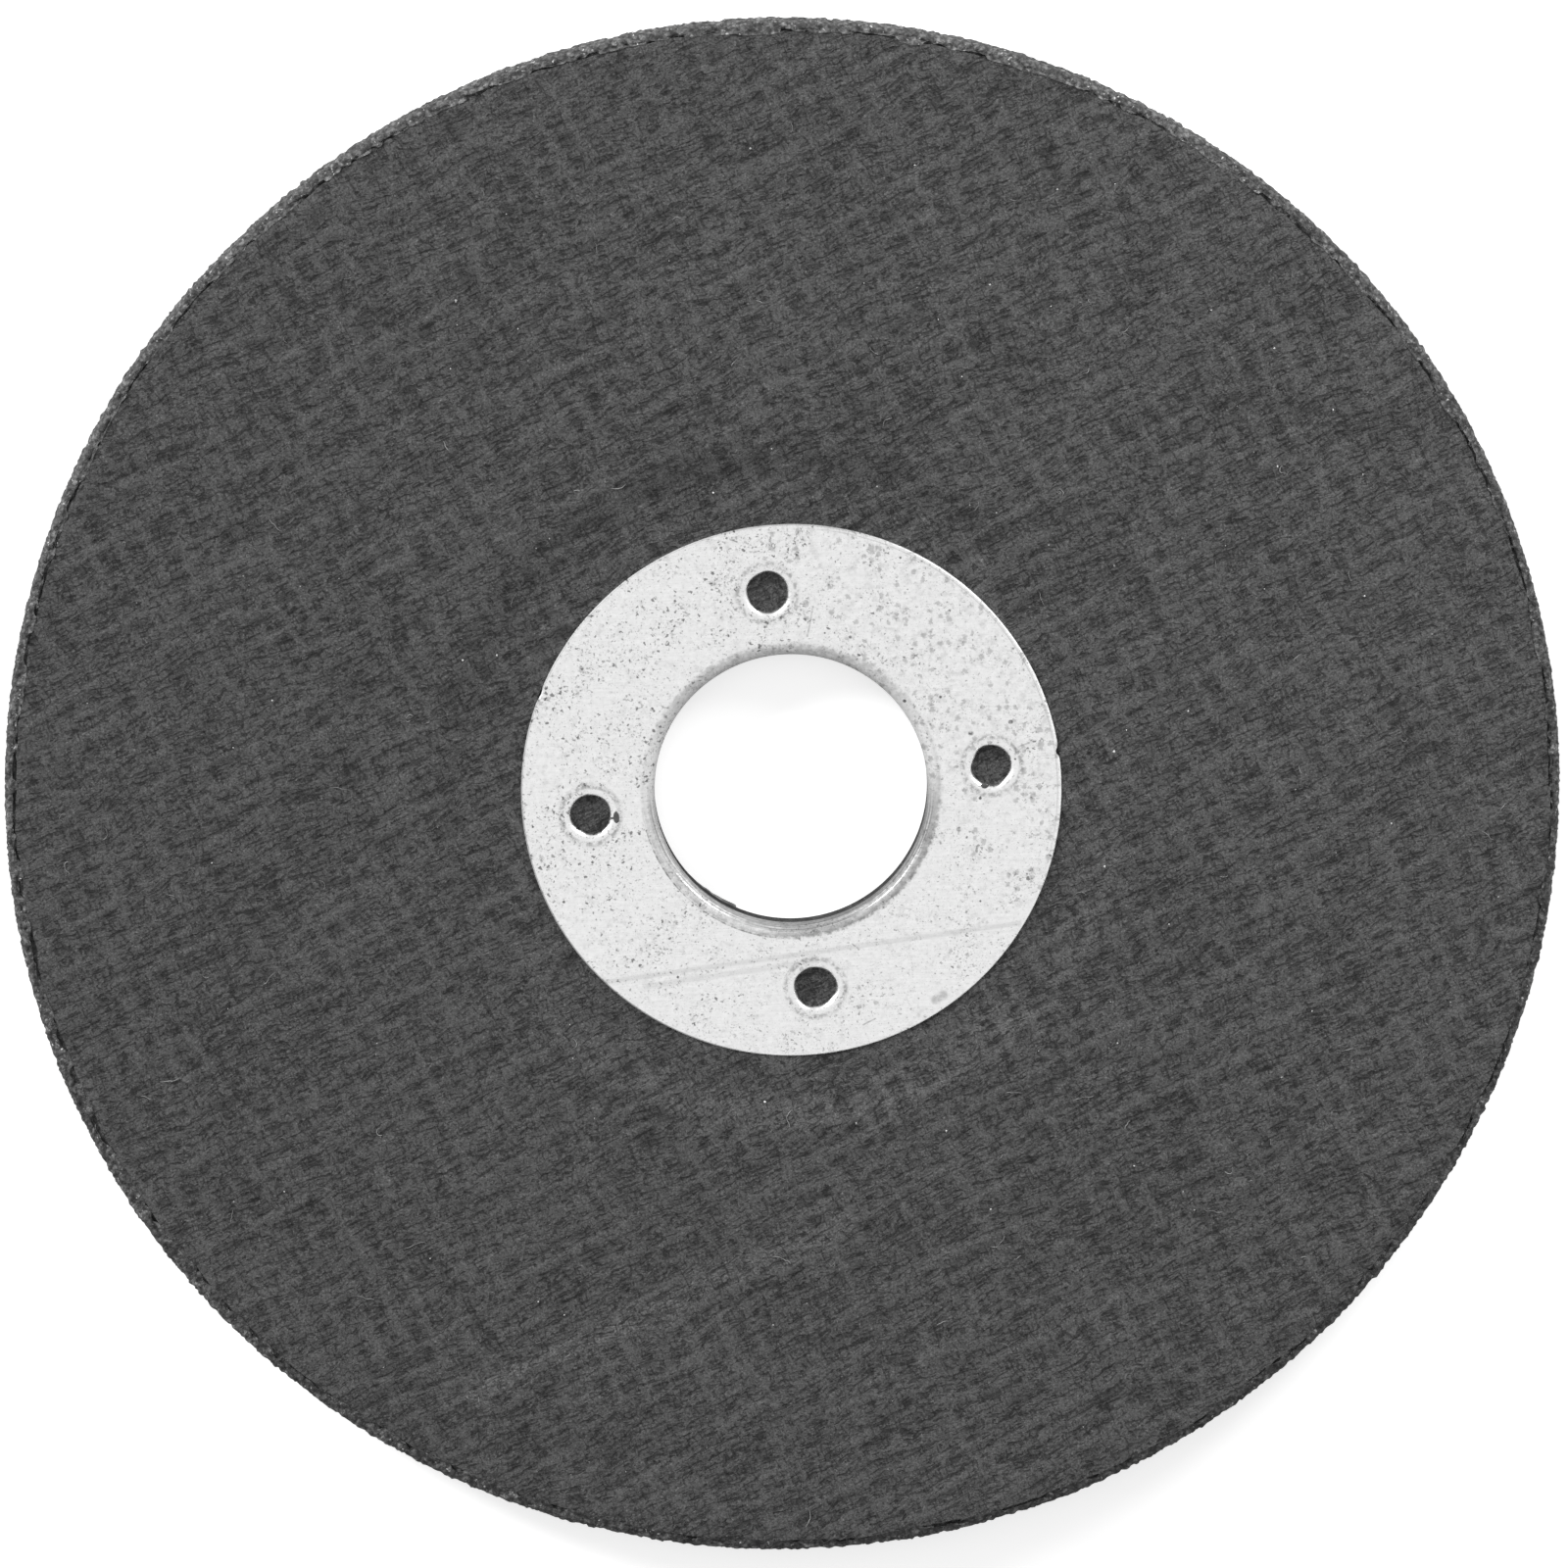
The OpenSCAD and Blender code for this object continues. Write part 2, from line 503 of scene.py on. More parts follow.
def rim_rows(sheet):
    """Rows of points over the rim, from the crack at the facing to the edge of the back."""
    angle = steps_round(rim_steps)
    start = facing_edge(angle) + crack_width(angle)
    shoulder = rim_r - rim_round
    upper = [(start + (shoulder - start) * share, wheel_t, 0.0) for share in (0, 0.33, 0.66)]
    for a in np.linspace(0, math.pi / 2, 7):
        drop = rim_round * (1 - math.cos(a))
        upper.append((shoulder + rim_round * math.sin(a), wheel_t - drop, math.sin(a)))
    wall = [(rim_r, z, 1.0) for z in np.linspace(wheel_t - rim_round, rim_round, 8)[1:-1]]
    lower = [(r, wheel_t - z, outward) for r, z, outward in reversed(upper[3:])]
    outline = upper + wall + lower
    rows = []
    down = 0.0
    open_crack = rise(crack_width(angle), 0.0, 0.12)
    for number, (r, z, outward) in enumerate(outline):
        down += row_pitch
        last = number == len(outline) - 1
        bite = rim_bite(angle * rim_r, np.full(rim_steps, down)) * (0 if last else 1)
        bite = bite * np.maximum(meeting.get(number, 1), open_crack)
        upward = (1 if z > wheel_t / 2 else -1) * math.sqrt(max(0, 1 - outward ** 2))
        radius = r - bite * outward
        height = z - bite * upward
        rows.append(sheet.add_ring(radius, angle, height, rim_x))
    return rows


def bore_rows(sheet):
    """Rows of points up the wall of the bore and round the space for the ring's lip."""
    angle = steps_round(hole_steps)
    turn = np.arange(hole_steps) / hole_steps
    levels = np.linspace(0, lip_end - clearance, 7)
    rows = []
    for number, z in enumerate(levels):
        pit = 0.05 * smooth_noise(turn * 160, np.full(hole_steps, z / 0.3), 70, wrap_x=160)
        at_end = number in (0, len(levels) - 1)
        rows.append(sheet.add_ring(bore_r + (0 if at_end else pit), angle, z))
    for z in (lip_end - clearance, wheel_t - dish_depth - facing_t):
        rows.append(sheet.add_ring(bore_r + sheet_t + clearance, angle, z))
    return rows


def build_body():
    sheet = Sheet()
    rim = rim_rows(sheet)
    sheet.sew_rows(rim)
    bore = bore_rows(sheet)
    sheet.sew_rows(bore)
    ends = np.array(sheet.points)[:, :2]
    points = slanted_grid(rim_r + 1, grain_size, grain_size, wrinkle_turn)
    on_back = from_centre(points, rim_centre) < rim_r - rim_round - 0.3
    points = points[on_back & (from_centre(points) > bore_r + 0.4)]
    outside = outside_circle(bore_r, hole_steps)
    flat, faces, rings = fill_between([ends[rim[-1]], ends[bore[0]]], points, outside)
    heights = back_height(flat[:, 0], flat[:, 1])
    sheet.add_patch(flat, heights, faces, matched(rings, [rim[-1], bore[0]]))
    recess_z = wheel_t - facing_t - clearance
    recess = sheet.add_points(np.c_[ends[rim[0]], np.full(rim_steps, recess_z)])
    sheet.sew(rim[0], recess)
    outside = outside_circle(bore_r + sheet_t + clearance, hole_steps)
    flat, faces, rings = fill_between([ends[rim[0]], ends[bore[-1]]], no_points, outside)
    sheet.add_patch(flat, recess_z, faces, matched(rings, [recess, bore[-1]]))
    return sheet.to_object("grain_body")


body = build_body()
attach(body, "root")
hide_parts("abrasive_body")

# %% [markdown]
# ## Crumbs in the crack
# On a real wheel the crack isn't empty, and a black gap all the way down would read as a drawn
# line. So a thin closed strip of uneven height lies in the bottom of it, like loose grain.

# %% Crumbs in the crack
crumb_depth = 0.25
crumb_thick = 0.1


def build_crumbs():
    """A strip of loose grain in the bottom of the crack between the facing and the rim."""
    angle = steps_round(rim_steps)
    inner = facing_edge(angle) - 0.05
    outer = inner + 0.1 + np.maximum(crack_width(angle), 0)
    top = wheel_t - crumb_depth - 0.2 * noise_round(angle, 900, 58)
    under = top - crumb_thick
    sheet = Sheet()
    rows = []
    for radius, height in ((inner, top), (outer, top), (outer, under), (inner, under)):
        rows.append(sheet.add_ring(radius, angle, height, rim_x))
    sheet.sew_rows([*rows, rows[0]])
    return sheet.to_object("crack_crumbs")


crumbs = build_crumbs()
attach(crumbs, "root")

# %% [markdown]
# ## The arbor ring
# The ring is blanked from tinned sheet, its bore edge is rolled down into the wheel, and four holes
# are pierced so that their torn rims bite into the facing. It is the piece the eye goes to, so its
# bends are cut in fine steps. The flat is filled first, with holes in it, and each edge is then
# carried round its own bend and back underneath.

# %% Build the arbor ring
def bend_profile(round_r, collar):
    """Offsets inward and down: over a bend, down a collar and back under the sheet."""
    over = [(round_r * math.sin(a), round_r * (1 - math.cos(a))) for a in np.linspace(0, math.pi / 2, 12)]
    end = round_r + collar
    back_r = round_r - sheet_t
    under = [(round_r - sheet_t - back_r * (1 - math.sin(a)), round_r - back_r * math.cos(a))
             for a in np.linspace(math.pi / 2, 0, 6)]
    return over[1:] + [(round_r, end), (round_r - sheet_t, end)] + under


def edge_profile(round_r):
    """Steps over the rounded outer edge and down to the underside."""
    over = [(-round_r * math.sin(a), round_r * (1 - math.cos(a))) for a in np.linspace(0, math.pi / 2, 6)]
    return over[1:] + [(-round_r, sheet_t), (0, sheet_t)]


def carry_edge(sheet, row, centre, profile, uneven=0.0, seed=0):
    """Carries a row of edge points along a profile of offsets towards a centre and down."""
    start = np.array(sheet.points)[row]
    away = start[:, :2] - centre
    radius = from_centre(away)
    direction = away / radius[:, None]
    angle = np.arctan2(away[:, 1], away[:, 0])
    wobble = uneven * smooth_noise(angle / math.tau * 9 + 9, 0 * angle, seed, wrap_x=9)
    rows = [row]
    deepest = max(abs(inward) for inward, _ in profile)
    for inward, down in profile:
        reach = radius - inward - wobble * abs(inward) / deepest
        place = centre + direction * reach[:, None]
        rows.append(sheet.add_points(np.c_[place, ring_top - np.full(len(row), down)]))
    sheet.sew_rows(rows)
    return rows[-1]


edge_round = 0.15
outer_steps = 720
lip_steps = 360
anchor_steps = 72
edge_dents = [(7.8, 0.22, 0.9), (158, 0.12, 1.2)]


def build_ring():
    lip_edge = circle_loop(bore_r + lip_round, lip_steps)
    outer_edge = circle_loop(ring_r - edge_round, outer_steps)
    for degrees, depth, width in edge_dents:
        turn = (np.arange(outer_steps) / 2 - degrees + 180) % 360 - 180
        outer_edge *= (1 - depth / ring_r * np.exp(-(turn / width) ** 2))[:, None]
    hole_r = anchor_r + anchor_round
    hole_edges = [circle_loop(hole_r, anchor_steps, centre) for centre in anchors]
    points = slanted_grid(ring_r, 0.6, 0.6, 0.3)
    distance = from_centre(points)
    clear = (distance < ring_r - edge_round - 0.3) & (distance > bore_r + lip_round + 0.3)
    tests = [outside_circle(bore_r + lip_round, lip_steps)]
    for centre in anchors:
        clear &= from_centre(points, centre) > hole_r + 0.25
        tests.append(outside_circle(hole_r, anchor_steps, centre))

    def on_the_flat(middles):
        return np.all([test(middles) for test in tests], axis=0)

    places, faces, rings = fill_between([outer_edge, lip_edge, *hole_edges], points[clear], on_the_flat)
    sheet = Sheet()
    top = sheet.add_patch(places, ring_top, faces)
    centres = [np.zeros(2), np.zeros(2), *anchors]
    lip_collar = ring_top - lip_round - lip_end
    profiles = [edge_profile(edge_round), bend_profile(lip_round, lip_collar)]
    profiles += [bend_profile(anchor_round, 0.0)] * len(anchors)
    uneven = [0.0, 0.0, 0.22, 0.2, 0.22, 0.2]
    last_rows = []
    for number, (ring, centre, profile) in enumerate(zip(rings, centres, profiles)):
        row = [top[k] for k in ring]
        last_rows.append(carry_edge(sheet, row, centre, profile, uneven[number], 80 + number))
    sheet.add_patch(places, ring_under, faces, matched(rings, last_rows))
    return sheet.to_object("stamped_ring", sharp_deg=40)


ring = build_ring()
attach(ring, "root")
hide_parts("arbor_ring")

# %% [markdown]
# ## A bench for finishes
# Each finish is a small tree of nodes. These helpers add a node, fill its sockets, and turn a grey
# read off a colour chart into the linear number that a shader wants.

# %% Finish helpers
def grey(level):
    """Linear brightness of a screen grey from 0 to 255."""
    share = level / 255
    return share / 12.92 if share <= 0.04045 else ((share + 0.055) / 1.055) ** 2.4


class Finish:
    """A material whose nodes are added one by one."""

    def __init__(self, name):
        self.material = bpy.data.materials.new(name)
        self.material.use_nodes = True
        self.tree = self.material.node_tree
        self.shader = self.tree.nodes["Principled BSDF"]
        place = self.add("ShaderNodeTexCoord").outputs["Object"]
        self.mm = self.vector("SCALE", place, scale=1 / MM)
        self.flat = self.vector("MULTIPLY", self.mm, (1, 1, 0))

    def add(self, kind, sockets=(), **settings):
        node = self.tree.nodes.new(kind)
        for name, value in settings.items():
            setattr(node, name, value)
        for name, value in dict(sockets).items():
            self.plug(node.inputs[name], value)
        return node

    def plug(self, socket, value):
        if isinstance(value, bpy.types.NodeSocket):
            self.tree.links.new(value, socket)
        else:
            socket.default_value = value

    def math(self, operation, *values, clamp=False):
        sockets = dict(enumerate(values))
        return self.add("ShaderNodeMath", sockets, operation=operation, use_clamp=clamp).outputs[0]

    def times(self, a, b):
        return self.math("MULTIPLY", a, b)

    def times_add(self, a, b, c):
        """a times b, plus c."""
        return self.math("MULTIPLY_ADD", a, b, c)

    def darken(self, shade, mark, depth):
        """A shade that loses that share of itself where a mark is 1."""
        return self.times(shade, self.times_add(mark, -depth, 1.0))

    def vector(self, operation, a, b=None, scale=None):
        sockets = {0: a}
        if b is not None:
            sockets[1] = b
        if scale is not None:
            sockets["Scale"] = scale
        node = self.add("ShaderNodeVectorMath", sockets, operation=operation)
        return node.outputs["Value" if operation in ("LENGTH", "DOT_PRODUCT") else "Vector"]

    def turned(self, place, degrees, stretch):
        """Place along and across a direction, in units of a length each way."""
        spun = self.add("ShaderNodeVectorRotate", {"Vector": place, "Angle": -math.radians(degrees)},
                        rotation_type="Z_AXIS").outputs[0]
        return self.vector("DIVIDE", spun, (*stretch, 1))

    def noise(self, place, detail=2.0, roughness=0.5):
        sockets = {"Vector": place, "Scale": 1.0, "Detail": detail, "Roughness": roughness}
        return self.add("ShaderNodeTexNoise", sockets)

    def grain(self, per_mm, detail=2.0, roughness=0.5):
        """Even noise with that many bumps to a millimetre, as one number."""
        return self.noise(self.vector("SCALE", self.mm, scale=per_mm), detail, roughness).outputs[0]

    def wander(self, per_mm, detail, reach):
        """A sideways shift of up to half a reach each way, from noise."""
        colour = self.noise(self.vector("SCALE", self.mm, scale=per_mm), detail).outputs["Color"]
        return self.vector("SCALE", self.vector("SUBTRACT", colour, (0.5, 0.5, 0.5)), scale=reach)

    def step(self, value, low, high, start=0.0, end=1.0):
        """Soft step from start to end as a value goes from low to high."""
        sockets = {"Value": value, "From Min": low, "From Max": high, "To Min": start, "To Max": end}
        return self.add("ShaderNodeMapRange", sockets, interpolation_type="SMOOTHSTEP").outputs[0]

    def bump(self, height, depth_mm):
        sockets = {"Height": height, "Distance": depth_mm * MM, "Strength": 1.0}
        return self.add("ShaderNodeBump", sockets).outputs["Normal"]

    def set(self, **values):
        for name, value in values.items():
            self.plug(self.shader.inputs[name.replace("_", " ")], value)


def line_mark(f, start, end, width):
    """1 on a straight line from start to end, fading to 0 at its width."""
    reach = np.array([*end, 0.0]) - np.array([*start, 0.0])
    from_start = f.vector("SUBTRACT", f.flat, (*start, 0))
    along = f.vector("DOT_PRODUCT", from_start, tuple(reach))
    share = f.math("DIVIDE", along, float(reach @ reach), clamp=True)
    on_line = f.add("ShaderNodeVectorMath", {0: tuple(reach), "Scale": share}, operation="SCALE").outputs[0]
    away = f.vector("LENGTH", f.vector("SUBTRACT", from_start, on_line))
    return f.step(away, width * 0.3, width, 1.0, 0.0)


print(f"screen grey 128 is {grey(128):.3f} in linear light")

# %% [markdown]
# ## Facing paper
# The paper is matt black, but never one black. Fine creases hold shadow, and the shader paints that
# shade in as darker colour; pale dust lies about, and the paper is a little lighter where the yarns
# lift it. The mesh holds the coarse relief, and the shader adds what is finer than its grid: short
# dashes along the creases, thin long folds, nicks across both, each with painted shade, and the
# grain of the paper itself.

# %% Finish of the facing
paper_grey = grey(67)
scuff_start = (-26.2, -49.8)
scuff_end = (4.1, -36.0)


def facing_finish():
    f = Finish("black_facing_paper")
    yarn = f.add("ShaderNodeAttribute", attribute_name="yarn").outputs["Fac"]
    crease = f.add("ShaderNodeAttribute", attribute_name="crease").outputs["Fac"]
    wavy = f.vector("ADD", f.mm, f.wander(0.14, 1.0, 1.8))
    wavy = f.vector("ADD", wavy, f.wander(1.3, 1.0, 0.5))
    ragged = f.times_add(yarn, -0.25, f.grain(2.6, 3.0, roughness=0.6))

    def streaks(degrees, length, width, low, high):
        """Thin broken creases along a direction: 1 in a crease and 0 beside it."""
        lines = f.noise(f.turned(wavy, degrees, (length, width)), detail=0.0).outputs[0]
        return f.step(f.times_add(ragged, 0.5, lines), low, high)

    dashes = streaks(22, 0.75, 0.21, 0.8, 0.87)
    folds = streaks(26, 1.7, 0.29, 0.8, 0.88)
    nicks = streaks(114, 0.8, 0.2, 0.84, 0.9)
    paper = f.grain(4.2, 2.0, roughness=0.7)
    fibres = f.grain(7.0, 1.0, roughness=0.7)
    dust = f.step(f.grain(6.0, 0.0), 0.68, 0.8)
    cloud = f.step(f.grain(0.5), 0.3, 0.7, 0.96, 1.04)
    scuff = f.times(line_mark(f, scuff_start, scuff_end, 1.6), f.step(ragged, 0.25, 0.5))
    shade = f.times_add(paper, 2.1, f.times_add(fibres, 1.9, -1.0))
    # Painted shade: the dashes, folds, nicks and the mesh's crease depth darken the paper as shadow in the
    # creases. The yarn print, the dust and the scuff lighten it.
    marks = [
        (dashes, -0.46, 1.12), (folds, -0.52, 1.16), (nicks, -0.45, 1.06), (yarn, 0.16, 0.96),
        (dust, 0.7, 0.99), (crease, -0.35, 1.03), (scuff, 0.6, 1.0),
    ]
    for mark, gain, level in marks:
        shade = f.times(shade, f.times_add(mark, gain, level))
    shade = f.times(f.times(shade, cloud), paper_grey)
    height = f.times_add(paper, 1.3, f.times(dashes, -1.0))
    height = f.math("SUBTRACT", f.math("SUBTRACT", height, folds), nicks)
    f.set(Base_Color=shade, Roughness=0.72, Specular_IOR_Level=0.25, Normal=f.bump(height, 0.04))
    return f.material


facing.data.materials.append(facing_finish())
print("facing paper is on", len(facing.data.polygons), "faces")

# %% [markdown]
# ## Abrasive grain
# Broken grain is a crowd of small faces, some dark with resin and some pale where they broke clean.
# Voronoi cells give each grain its own grey, and the edges between the cells are the resin that
# holds them.

# %% Finish of the abrasive
def abrasive_finish():
    f = Finish("resin_bonded_grain")
    cells = f.add("ShaderNodeTexVoronoi", {"Vector": f.vector("SCALE", f.mm, scale=2.4), "Scale": 1.0})
    number = f.add("ShaderNodeSeparateColor", {"Color": cells.outputs["Color"]})
    rough = f.grain(2.6, 3.0, roughness=0.65)
    fine = f.grain(7, 3.0, roughness=0.65)
    glint = f.times(f.step(f.grain(4.5, 0.0), 0.66, 0.78), f.step(number.outputs[1], 0.7, 1.0))
    shade = f.step(number.outputs[0], 0.2, 1.0, grey(72), grey(106))
    shade = f.times(shade, f.step(rough, 0.36, 0.66, 0.45, 1.6))
    shade = f.times(shade, f.times_add(fine, 1.2, 0.4))
    shade = f.times(shade, f.step(cells.outputs["Distance"], 0.3, 0.75, 1.1, 0.6))
    shade = f.times_add(glint, 0.5, shade)
    # Painted shade: the grain of the bore wall is darkened to a fifth of its grey, as shade under the
    # ring's lip.
    radius_for_bore_shade = f.vector("LENGTH", f.flat)
    shade = f.times(shade, f.step(radius_for_bore_shade, bore_r + 0.1, bore_r + 0.3, 0.2, 1.0))
    height = f.times_add(fine, 0.6, f.times(cells.outputs["Distance"], -0.6))
    height = f.times_add(rough, 1.2, height)
    f.set(Base_Color=shade, Roughness=0.65, Specular_IOR_Level=0.3, Normal=f.bump(height, 0.2))
    return f.material


body.data.materials.append(abrasive_finish())
crumbs.data.materials.append(body.data.materials[0])
print("grain is on", body.name, "and", crumbs.name)

# %% [markdown]
# ## Tinned sheet steel
# Tin plate is bright but soft. It is a satin metal with faint rolling lines, peppered with black
# specks where dirt and resin caught in the press. Painted shade darkens the rolled bend at the bore,
# a crease line, a burr line, a ring round each hole and the outer edge on the left.

# %% Finish of the ring
def spots(f, place, pitch, share, radius, soft, crowding):
    """Spots, at most one to a cell of that pitch. Crowding adds to their share."""
    sockets = {"Vector": f.vector("SCALE", place, scale=1 / pitch), "Scale": 1.0}
    cells = f.add("ShaderNodeTexVoronoi", sockets, voronoi_dimensions="2D")
    number = f.add("ShaderNodeSeparateColor", {"Color": cells.outputs["Color"]}).outputs[0]
    reach = f.step(f.math("ADD", number, crowding), 1 - share, 1.25, 0.0, radius / pitch)
    return f.step(f.math("SUBTRACT", reach, cells.outputs["Distance"]), 0.0, soft / pitch)


scratches = [
    ((-15.4, -15.7), (18.5, -11.2), 0.3, 0.18), ((-12.0, -16.1), (2.0, -14.1), 0.35, 0.15),
    ((1.88, 15.2), (1.4, 12.75), 0.1, 0.4), ((5.7, -19.5), (6.7, -19.0), 0.09, 0.45),
    ((18.5, 3.42), (19.4, 3.74), 0.09, 0.4), ((-19.5, -2.75), (-18.5, -2.67), 0.06, 0.3),
    ((14.6, 4.58), (14.7, 4.58), 0.24, 0.9), ((17.85, 5.48), (17.95, 5.48), 0.22, 0.9),
    ((11.6, -17.5), (12.3, -17.1), 0.5, 0.4),
]


def steel_finish():
    f = Finish("tinned_sheet_steel")
    radius = f.vector("LENGTH", f.flat)
    outward = f.vector("NORMALIZE", f.flat)
    flat_from = bore_r + lip_round

    def side(degrees, start, full):
        """1 near a direction round the bore, fading to 0 from full to start degrees away from it."""
        turn = math.radians(degrees)
        near = f.vector("DOT_PRODUCT", outward, (math.cos(turn), math.sin(turn), 0))
        return f.step(near, math.cos(math.radians(start)), math.cos(math.radians(full)))

    def hoop(at):
        """1 on a thin circle round the bore, at a radius."""
        away = f.math("ABSOLUTE", f.math("SUBTRACT", radius, at))
        return f.step(away, 0.02, 0.08, 1.0, 0.0)

    rolled = f.noise(f.turned(f.mm, 2, (2.6, 0.11)), detail=2.0, roughness=0.6).outputs[0]
    mottle = f.grain(2.4, 3.0, roughness=0.65)
    crowd = f.grain(0.32)
    left = f.step(f.vector("DOT_PRODUCT", f.flat, (-0.9, 0.5, 0)), -8.0, 14.0)
    upper_right = f.step(f.vector("DOT_PRODUCT", f.flat, (0.8, 0.6, 0)), 4.0, 16.0)
    crowding = f.times_add(crowd, 1.2, -0.6)
    uneven = f.vector("ADD", f.mm, f.wander(3.2, 2.0, 0.6))
    black = spots(f, uneven, 0.62, 0.2, 0.15, 0.06, f.times_add(left, 0.25, crowding))
    drops = spots(f, f.mm, 3.1, 0.3, 0.26, 0.06, f.times_add(upper_right, 0.06, 0.0))
    dots = f.times_add(left, 0.03, f.times_add(crowd, 0.3, f.grain(4.4, 1.5)))
    dots = f.step(dots, 0.76, 0.94)
    grit = f.step(f.times_add(crowd, 0.2, f.grain(8.5, 1.0)), 0.7, 0.9)
    smudge = spots(f, uneven, 0.68, 0.25, 0.32, 0.18, f.times_add(upper_right, 0.35, crowding))
    haze = f.grain(1.6, 3.0, roughness=0.65)
    haze = f.step(f.times_add(upper_right, 0.05, haze), 0.52, 0.75)
    # Painted shade on the rolled bend at the bore, strongest on three sides, and more on the lower right,
    # where it dims the lamp's reflection.
    bend_end = f.times_add(mottle, -0.9, f.math("ADD", radius, 0.32))
    bend = f.step(bend_end, flat_from - 0.3, flat_from + 0.1, 1.0, 0.0)
    shaded_bend_sides = f.math("MAXIMUM", f.math("MAXIMUM", side(97, 75, 25), side(238, 65, 25)), side(315, 55, 20))
    bend = f.times(bend, f.times_add(shaded_bend_sides, 0.5, 0.5))
    lower_right_bend_shade = f.times(bend, side(318, 65, 30))
    # Painted shade along a thin crease at the outer edge of the bend, on the lower left, broken by the
    # mottle.
    crease = f.times(hoop(flat_from + 0.1), side(228, 45, 25))
    crease = f.times(crease, f.step(mottle, 0.4, 0.6, 0.25, 1.0))
    # Painted shade along a burr just inside the outer edge, on the upper right.
    burr_shade = f.times(hoop(ring_r - 0.32), side(35, 60, 35))
    outer_edge = f.step(radius, ring_r - 0.17, ring_r - 0.1)
    # Painted shade on the rounding of the outer edge on the left, which dims the lamp's reflection there.
    left_edge_shade = f.times(outer_edge, side(160, 110, 80))
    near_side = side(270, 100, 75)
    tool_lines = f.noise(f.vector("DIVIDE", f.mm, (6, 6, 0.06)), detail=2.0).outputs[0]
    tool_lines = f.times(f.step(tool_lines, 0.35, 0.6), near_side)
    tool_lines = f.times(tool_lines, f.step(radius, bore_r + 0.4, bore_r + 0.8, 1.0, 0.0))
    polished = f.times(hoop(bore_r + 0.45), near_side)
    shade = f.times_add(rolled, 0.16, 0.7)
    shade = f.times(shade, f.times_add(mottle, 0.26, 0.89))
    # Painted shade over the bend, broken up by the mottle.
    mottled_bend_shade = f.times(bend, f.times_add(mottle, 1.3, -0.05))
    marks = [
        (black, 0.68), (drops, 0.78), (dots, 0.56), (grit, 0.34), (smudge, 0.32), (haze, 0.16),
        (mottled_bend_shade, 0.6), (lower_right_bend_shade, 0.4), (crease, 0.6), (burr_shade, 0.2), (left_edge_shade, 0.5), (tool_lines, 0.45),
    ]
    # Painted shade in a mottled ring round each hole, where the sheet dips towards it.
    for centre in anchors:
        away = f.vector("LENGTH", f.vector("SUBTRACT", f.flat, (*centre, 0)))
        hole_shade_ring = f.times(f.step(away, 2.1, 2.35), f.step(away, 2.4, 2.8, 1.0, 0.0))
        marks.append((f.times(hole_shade_ring, f.step(mottle, 0.38, 0.62)), 0.5))
    for start, end, width, depth in scratches:
        mark = f.times(line_mark(f, start, end, width), f.step(mottle, 0.3, 0.6, 0.3, 1.0))
        marks.append((mark, depth))
    for mark, depth in marks:
        shade = f.darken(shade, mark, depth)
    roughness = f.times_add(mottle, 0.2, 0.22)
    on_lip = f.step(radius, flat_from - 0.3, flat_from, 0.35, 0.0)
    roughness = f.math("ADD", roughness, f.math("MAXIMUM", on_lip, f.times(outer_edge, 0.4)))
    roughness = f.times_add(polished, -0.35, roughness)
    height = f.times_add(mottle, 0.7, rolled)
    f.set(Base_Color=shade, Metallic=1.0, Roughness=roughness, Normal=f.bump(height, 0.012))
    return f.material


ring.data.materials.append(steel_finish())
print("tin plate has", len(scratches), "marks placed by hand")

# %% [markdown]
# ## Lint
# No wheel leaves the press clean, and a face without dirt looks like plastic. Short curly fibres
# lie on the black paper. Each is a thin tube of five sides along a wandering path that follows the
# height of the sheet. One long hair lies at the bottom of the wheel, as in the photograph.

# %% Lint on the facing
def add_fibre(sheet, path, thick):
    """A thin tube of five sides along a path of points."""
    ahead = np.gradient(path, axis=0)
    ahead /= np.linalg.norm(ahead, axis=1)[:, None]
    side = np.cross(ahead, (0, 0, 1.0))
    side /= np.linalg.norm(side, axis=1)[:, None]
    top = np.cross(side, ahead)
    rows = []
    for number, place in enumerate(path):
        taper = thick * (0.5 if number in (0, len(path) - 1) else 1)
        turn = steps_round(5)
        around = np.cos(turn)[:, None] * side[number] + np.sin(turn)[:, None] * top[number]
        rows.append(sheet.add_points(place + taper * around))
    sheet.sew_rows(rows)
    sheet.faces += [tuple(rows[0]), tuple(reversed(rows[-1]))]


def lay_on_face(x, y, lift):
    """Height just over the facing, but never over the wheel's own height."""
    return np.minimum(front_height(x, y) + lift, wheel_t - 0.05)


def scatter(random, count):
    """Places spread evenly over the facing, as an array of x and y."""
    angle = random.random(count) * math.tau
    radius = np.sqrt(random.uniform((ring_r + 3) ** 2, (facing_r - 3) ** 2, count))
    return np.c_[rim_x + radius * np.cos(angle), radius * np.sin(angle)]


hair = (1.0, -59.8)
seen_lint = [(7.7, 30.0), (34.4, 16.8), (-38.2, -7.7), (18.5, -38.8)]


